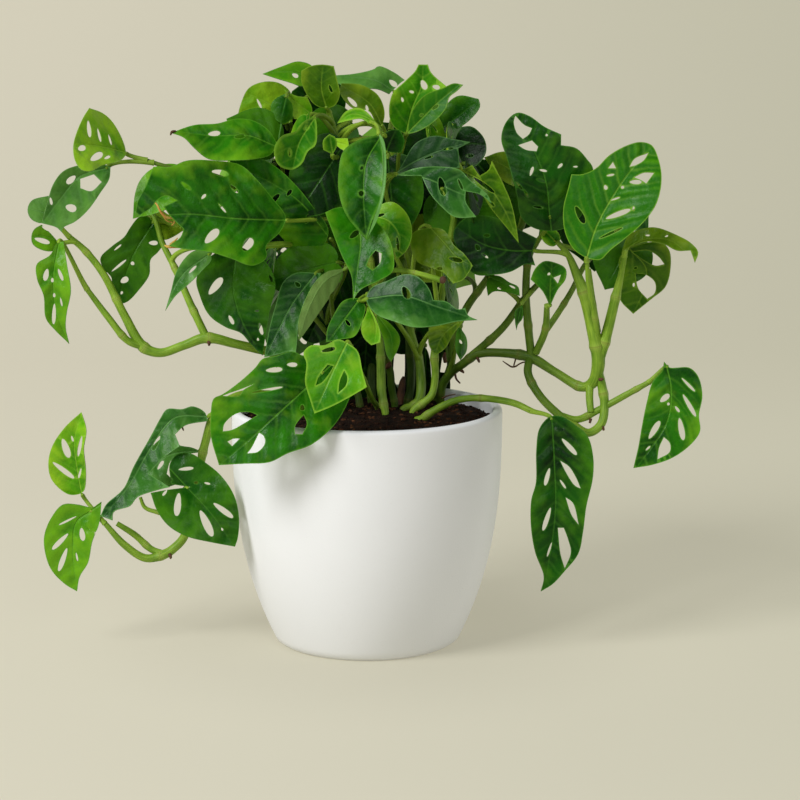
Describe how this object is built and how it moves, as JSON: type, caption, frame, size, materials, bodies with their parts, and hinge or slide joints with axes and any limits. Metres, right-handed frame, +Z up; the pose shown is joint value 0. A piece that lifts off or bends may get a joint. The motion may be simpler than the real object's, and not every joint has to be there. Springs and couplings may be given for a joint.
{
  "type": "potted monstera adansonii",
  "caption": "Bushy trailing vine with pierced heart-shaped leaves on arching green stems, growing from dark soil in a plain round white pot that tapers to its foot.",
  "frame": {"origin": "middle of the pot's foot, on the surface that it stands on", "axes": "+Z up along the pot's axis, +X to the right of the plant's front view, +Y away from the front"},
  "size_m": [0.4375, 0.2727, 0.3845],
  "materials": {
    "pot": "smooth matt glaze, slightly warm white",
    "soil": "loose dark potting mix with bark chips",
    "stem": "smooth waxy light green stem",
    "leaf_dark": "waxy dark green leaf, satin",
    "leaf_grey": "waxy greyish green leaf, satin",
    "leaf_mid": "waxy mid green leaf, satin",
    "leaf_olive": "waxy olive green leaf, satin",
    "leaf_bright": "young yellowish green leaf, satin"
  },
  "bodies": {
    "root": {"pot": "pot", "soil": "soil", "stem_left": "stem", "stem_left_low": "stem", "stem_right": "stem", "stem_front_right": "stem", "stem_front_low": "stem", "stem_mid_left": "stem", "stem_mid": "stem", "stem_mid_right": "stem", "stem_back_left": "stem", "stem_right_back": "stem", "stem_back": "stem", "leaf_left_top": "leaf_bright", "leaf_left_long": "leaf_grey", "leaf_left_hanging": "leaf_mid", "leaf_left_dark": "leaf_dark", "leaf_left_broad": "leaf_mid", "leaf_upper_left": "leaf_mid", "leaf_top_left_bright": "leaf_bright", "leaf_top_arch": "leaf_olive", "leaf_centre_hanging": "leaf_mid", "leaf_young_curl": "leaf_bright", "leaf_right_top": "leaf_bright", "leaf_right_front": "leaf_bright", "leaf_right_grey": "leaf_grey", "leaf_right_slit": "leaf_grey", "leaf_right_folded": "leaf_olive", "leaf_right_high": "leaf_dark", "leaf_right_large": "leaf_bright", "leaf_right_low_dark": "leaf_dark", "leaf_right_edge": "leaf_mid", "leaf_right_mid_dark": "leaf_dark", "leaf_centre_left": "leaf_mid", "leaf_centre_bright": "leaf_bright", "leaf_centre_olive": "leaf_olive", "leaf_low_grey": "leaf_grey", "leaf_pale_underside": "leaf_mid", "leaf_low_left_dark": "leaf_dark", "leaf_low_left_grey": "leaf_grey", "leaf_young_bright": "leaf_bright", "leaf_low_large": "leaf_mid", "leaf_low_left_front": "leaf_dark", "leaf_low_left_arch": "leaf_grey", "leaf_low_left_tip": "leaf_mid", "leaf_low_left_bright": "leaf_bright", "leaf_front_hanging": "leaf_dark", "leaf_right_hanging": "leaf_mid", "leaf_back_top_left": "leaf_mid", "leaf_back_top": "leaf_bright", "leaf_back_top_right": "leaf_mid", "leaf_back_left_high": "leaf_grey", "leaf_back_right_high": "leaf_dark", "leaf_back_middle": "leaf_mid", "leaf_back_left_hanging": "leaf_grey", "leaf_back_hanging": "leaf_mid", "leaf_back_right": "leaf_mid", "leaf_back_right_reach": "leaf_mid"}
  },
  "joints": []
}
